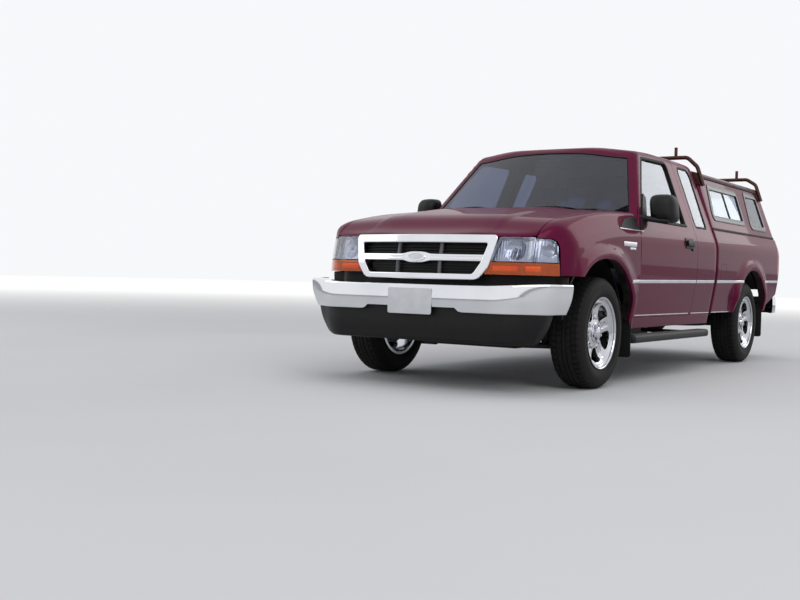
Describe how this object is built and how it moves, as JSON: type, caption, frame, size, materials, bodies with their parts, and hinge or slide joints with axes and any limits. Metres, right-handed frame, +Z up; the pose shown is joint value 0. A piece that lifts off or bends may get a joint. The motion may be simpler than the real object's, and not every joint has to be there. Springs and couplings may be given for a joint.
{
  "type": "pickup truck with load-bed canopy",
  "caption": "Compact extended-cab pickup truck with a canopy over the load bed, a roof rack, step bars and hinged doors, hood, tailgate and rear hatch.",
  "frame": {"origin": "on the ground, at the middle of the truck's length and width", "axes": "+Z up, the truck faces -Y, +X is its left side"},
  "size_m": [2.052, 5.154, 1.7632],
  "materials": {
    "paint": "gloss",
    "chrome": "polished",
    "black_metal": "satin",
    "black_plastic": "matte",
    "rubber": "matte",
    "tyre": "matte",
    "alloy": "polished",
    "cast": "rough",
    "glass": "clear",
    "lamp": "clear",
    "amber": "gloss",
    "red_lamp": "gloss",
    "cloth": "woven",
    "trim": "grained",
    "plate": "satin",
    "steel": "brushed",
    "rack_metal": "satin"
  },
  "bodies": {
    "root": {"frame": "black_metal", "front_suspension": "black_metal", "rear_axle": "cast", "powertrain": "cast", "radiator": "black_metal", "exhaust": "steel", "fuel_tank": "black_metal", "spare_wheel": "tyre", "cab_shell": "paint", "cab_floor": "trim", "cab_glass": "glass", "fenders": "paint", "inner_fenders": "black_metal", "grille": "chrome", "headlamps": "lamp", "turn_lamps": "amber", "front_bumper": "chrome", "front_valance": "black_plastic", "plates": "plate", "bed_sides": "paint", "bed_floor": "paint", "tail_lamps": "red_lamp", "rear_bumper": "chrome", "canopy_shell": "paint", "canopy_glass": "glass", "rack": "rack_metal", "step_bars": "black_metal", "mud_flaps": "rubber", "seats": "cloth", "dashboard": "trim"},
    "knuckle_left": {"knuckle_left": "cast"},
    "knuckle_right": {"knuckle_right": "cast"},
    "wheel_front_left": {"wheel_front_left": "alloy", "tyre_front_left": "tyre"},
    "wheel_front_right": {"wheel_front_right": "alloy", "tyre_front_right": "tyre"},
    "wheel_rear_left": {"wheel_rear_left": "alloy", "tyre_rear_left": "tyre"},
    "wheel_rear_right": {"wheel_rear_right": "alloy", "tyre_rear_right": "tyre"},
    "steering_wheel": {"steering_wheel": "trim"},
    "hood": {"hood": "paint"},
    "door_left": {"door_left": "paint", "door_glass_left": "glass", "mirror_left": "black_plastic"},
    "door_right": {"door_right": "paint", "door_glass_right": "glass", "mirror_right": "black_plastic"},
    "tailgate": {"tailgate": "paint"},
    "hatch": {"hatch": "paint"},
    "fuel_door": {"fuel_door": "paint"}
  },
  "joints": [
    {"name": "steer_left", "type": "hinge", "parent": "root", "child": "knuckle_left", "pos_m": [0.645, -1.684, 0.345], "axis": [0, 0, 1], "range_deg": [-33, 33]},
    {"name": "roll_front_left", "type": "hinge", "parent": "knuckle_left", "child": "wheel_front_left", "pos_m": [0.743, -1.684, 0.345], "axis": [1, 0, 0], "continuous": true},
    {"name": "roll_rear_left", "type": "hinge", "parent": "root", "child": "wheel_rear_left", "pos_m": [0.728, 1.509, 0.345], "axis": [1, 0, 0], "continuous": true},
    {"name": "steer_right", "type": "hinge", "parent": "root", "child": "knuckle_right", "pos_m": [-0.645, -1.684, 0.345], "axis": [0, 0, 1], "range_deg": [-33, 33]},
    {"name": "roll_front_right", "type": "hinge", "parent": "knuckle_right", "child": "wheel_front_right", "pos_m": [-0.743, -1.684, 0.345], "axis": [1, 0, 0], "continuous": true},
    {"name": "roll_rear_right", "type": "hinge", "parent": "root", "child": "wheel_rear_right", "pos_m": [-0.728, 1.509, 0.345], "axis": [1, 0, 0], "continuous": true},
    {"name": "steering", "type": "hinge", "parent": "root", "child": "steering_wheel", "pos_m": [0.385, -0.70518, 0.9926], "axis": [0, 0.9272, 0.3745], "range_deg": [-528, 528]},
    {"name": "hood_hinge", "type": "hinge", "parent": "root", "child": "hood", "pos_m": [0, -1.238, 1.146], "axis": [-1, 0, 0], "range_deg": [0, 55]},
    {"name": "door_hinge_left", "type": "hinge", "parent": "root", "child": "door_left", "pos_m": [0.874, -1.129, 0.8], "axis": [0, 0, -1], "range_deg": [0, 65]},
    {"name": "door_hinge_right", "type": "hinge", "parent": "root", "child": "door_right", "pos_m": [-0.874, -1.129, 0.8], "axis": [0, 0, 1], "range_deg": [0, 65]},
    {"name": "tailgate_hinge", "type": "hinge", "parent": "root", "child": "tailgate", "pos_m": [0, 2.416, 0.645], "axis": [-1, 0, 0], "range_deg": [0, 90]},
    {"name": "hatch_hinge", "type": "hinge", "parent": "root", "child": "hatch", "pos_m": [0, 2.3796, 1.5403], "axis": [1, 0, 0], "range_deg": [0, 80]},
    {"name": "fuel_door_hinge", "type": "hinge", "parent": "root", "child": "fuel_door", "pos_m": [0.874, 0.63, 0.762], "axis": [0, 0, -1], "range_deg": [0, 100]}
  ],
  "couplings": [
    {"joint": "steer_right", "follows": "steer_left", "ratio": 1}
  ]
}
